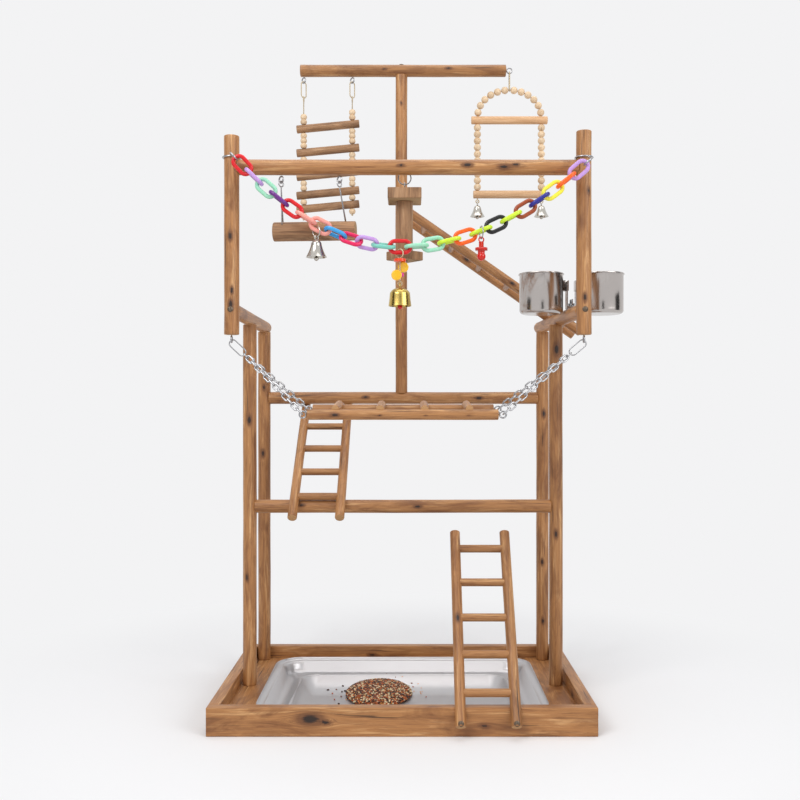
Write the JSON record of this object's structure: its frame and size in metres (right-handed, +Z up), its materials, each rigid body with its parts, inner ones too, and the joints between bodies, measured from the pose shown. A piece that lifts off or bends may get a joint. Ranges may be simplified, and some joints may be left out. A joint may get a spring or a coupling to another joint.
{
  "type": "parrot play stand",
  "caption": "Wooden parrot play stand on a steel-pan tray, with perches, ladders, swing bridge, cups and hanging bead, block and bell toys.",
  "frame": {"origin": "middle of the tray's underside, on the floor", "axes": "+Z up, +X to the right and +Y towards the back as seen from the front"},
  "size_m": [0.5314, 0.3397, 0.9244],
  "materials": {
    "timber": "matt varnish",
    "light_dowel": "sanded",
    "bead_wood": "sanded",
    "steel_sheet": "satin",
    "steel_wire": "bright zinc",
    "nickel_bell": "bright nickel",
    "brass_bell": "polished",
    "red_plastic": "gloss",
    "link_plastic": "gloss, each link its own colour",
    "charm_plastic": "gloss",
    "cord": "twisted",
    "seed": "loose seed"
  },
  "bodies": {
    "stand": {"tray_front_board": "timber", "tray_back_board": "timber", "tray_left_board": "timber", "tray_right_board": "timber", "tray_floor": "timber", "deck_boards": "timber", "front_post_left": "timber", "front_post_right": "timber", "back_post_left": "timber", "back_post_right": "timber", "arm_left": "timber", "arm_right": "timber", "upper_post_left": "timber", "upper_post_right": "timber", "main_perch": "timber", "middle_rail": "timber", "lower_rail": "timber", "mast": "timber", "top_perch": "timber", "front_ladder_rails": "timber", "front_ladder_rungs": "timber", "middle_ladder_rails": "timber", "middle_ladder_rungs": "timber", "ramp_ladder_rails": "timber", "ramp_ladder_rungs": "timber", "frame_screws": "steel_wire", "screw_eyes": "steel_wire", "cup_bracket": "steel_sheet", "chain_ties": "steel_wire"},
    "pan": {"seed_pan": "steel_sheet", "seed_heap": "seed"},
    "cup_left": {"cup_left": "steel_sheet"},
    "cup_right": {"cup_right": "steel_sheet"},
    "bridge": {"bridge_rails": "light_dowel", "bridge_rungs": "light_dowel", "bridge_chains": "steel_wire"},
    "bead_ladder": {"bead_ladder_rungs": "light_dowel", "bead_ladder_beads": "bead_wood", "bead_ladder_cords": "cord"},
    "arch_swing": {"arch_perches": "light_dowel", "arch_beads": "bead_wood", "arch_cord": "cord"},
    "arch_bell_left": {"arch_bell_left": "nickel_bell"},
    "arch_bell_right": {"arch_bell_right": "nickel_bell"},
    "arch_clapper_left": {"arch_clapper_left": "nickel_bell"},
    "arch_clapper_right": {"arch_clapper_right": "nickel_bell"},
    "perch_swing": {"swing_dowels": "light_dowel", "swing_hangers": "steel_wire"},
    "toy_hanger": {"toy_hanger": "steel_wire"},
    "toy_blocks": {"toy_blocks": "light_dowel"},
    "chain": {"chain_links": "link_plastic"},
    "chain_bell": {"chain_bell": "nickel_bell"},
    "chain_clapper": {"chain_clapper": "nickel_bell"},
    "red_charm": {"red_charm": "red_plastic", "red_charm_ring": "steel_wire"},
    "centre_charm": {"charm_pieces": "charm_plastic", "charm_cord": "cord"},
    "brass_bell": {"brass_bell": "brass_bell"},
    "brass_clapper": {"brass_clapper": "red_plastic"}
  },
  "joints": [
    {"name": "pan_lift", "type": "slide", "parent": "stand", "child": "pan", "axis": [0, 0, 1], "range_m": [0, 0.03]},
    {"name": "cup_left_lift", "type": "slide", "parent": "stand", "child": "cup_left", "axis": [0, 0, 1], "range_m": [0, 0.04]},
    {"name": "cup_right_lift", "type": "slide", "parent": "stand", "child": "cup_right", "axis": [0, 0, 1], "range_m": [0, 0.04]},
    {"name": "bridge_swing", "type": "hinge", "parent": "stand", "child": "bridge", "pos_m": [0.226, -0.139, 0.4835], "axis": [1, 0, 0], "range_deg": [-20, 20]},
    {"name": "bead_ladder_swing", "type": "hinge", "parent": "stand", "child": "bead_ladder", "pos_m": [-0.078, 0.135, 0.89615], "axis": [1, 0, 0], "range_deg": [-15, 15]},
    {"name": "arch_swing_swing", "type": "hinge", "parent": "stand", "child": "arch_swing", "pos_m": [0.1615, 0.135, 0.911], "axis": [1, 0, 0], "range_deg": [-25, 25]},
    {"name": "arch_bell_left_swing", "type": "hinge", "parent": "arch_swing", "child": "arch_bell_left", "pos_m": [0.11275, 0.135, 0.71345], "axis": [1, 0, 0], "range_deg": [-30, 30]},
    {"name": "arch_bell_right_swing", "type": "hinge", "parent": "arch_swing", "child": "arch_bell_right", "pos_m": [0.21025, 0.135, 0.71345], "axis": [1, 0, 0], "range_deg": [-30, 30]},
    {"name": "arch_clapper_left_swing", "type": "hinge", "parent": "arch_bell_left", "child": "arch_clapper_left", "pos_m": [0.11275, 0.135, 0.70975], "axis": [1, 0, 0], "range_deg": [-12, 12]},
    {"name": "arch_clapper_right_swing", "type": "hinge", "parent": "arch_bell_right", "child": "arch_clapper_right", "pos_m": [0.21025, 0.135, 0.70975], "axis": [1, 0, 0], "range_deg": [-12, 12]},
    {"name": "perch_swing_swing", "type": "hinge", "parent": "stand", "child": "perch_swing", "pos_m": [-0.07795, -0.139, 0.6816], "axis": [1, 0, 0], "range_deg": [-1.5, 25]},
    {"name": "block_toy_swing", "type": "hinge", "parent": "stand", "child": "toy_hanger", "pos_m": [0.003, -0.1236, 0.697], "axis": [0, 1, 0], "range_deg": [-15, 15]},
    {"name": "block_spin", "type": "hinge", "parent": "toy_hanger", "child": "toy_blocks", "pos_m": [0.003, -0.1236, 0.675], "axis": [0, 0, 1], "continuous": true},
    {"name": "chain_swing", "type": "hinge", "parent": "stand", "child": "chain", "pos_m": [-0.20328, -0.1645, 0.70674], "axis": [0.9999, 0, -0.0148], "range_deg": [-25, 1]},
    {"name": "chain_bell_swing", "type": "hinge", "parent": "chain", "child": "chain_bell", "pos_m": [-0.10422, -0.1645, 0.61818], "axis": [0.8864, 0, -0.4629], "range_deg": [-30, 30]},
    {"name": "chain_clapper_swing", "type": "hinge", "parent": "chain_bell", "child": "chain_clapper", "pos_m": [-0.10422, -0.1645, 0.60636], "axis": [1, 0, 0], "range_deg": [-12, 12]},
    {"name": "red_charm_swing", "type": "hinge", "parent": "chain", "child": "red_charm", "pos_m": [0.09601, -0.1715, 0.61741], "axis": [0.9315, 0, 0.3637], "range_deg": [-30, 30]},
    {"name": "centre_charm_swing", "type": "hinge", "parent": "chain", "child": "centre_charm", "pos_m": [-0.00252, -0.1645, 0.59124], "axis": [1, 0, -0.0036], "range_deg": [-20, 20]},
    {"name": "brass_bell_swing", "type": "hinge", "parent": "centre_charm", "child": "brass_bell", "pos_m": [-0.00252, -0.1645, 0.55114], "axis": [1, 0, 0], "range_deg": [-20, 20]},
    {"name": "brass_clapper_swing", "type": "hinge", "parent": "brass_bell", "child": "brass_clapper", "pos_m": [-0.00252, -0.1645, 0.54744], "axis": [1, 0, 0], "range_deg": [-12, 12]}
  ]
}
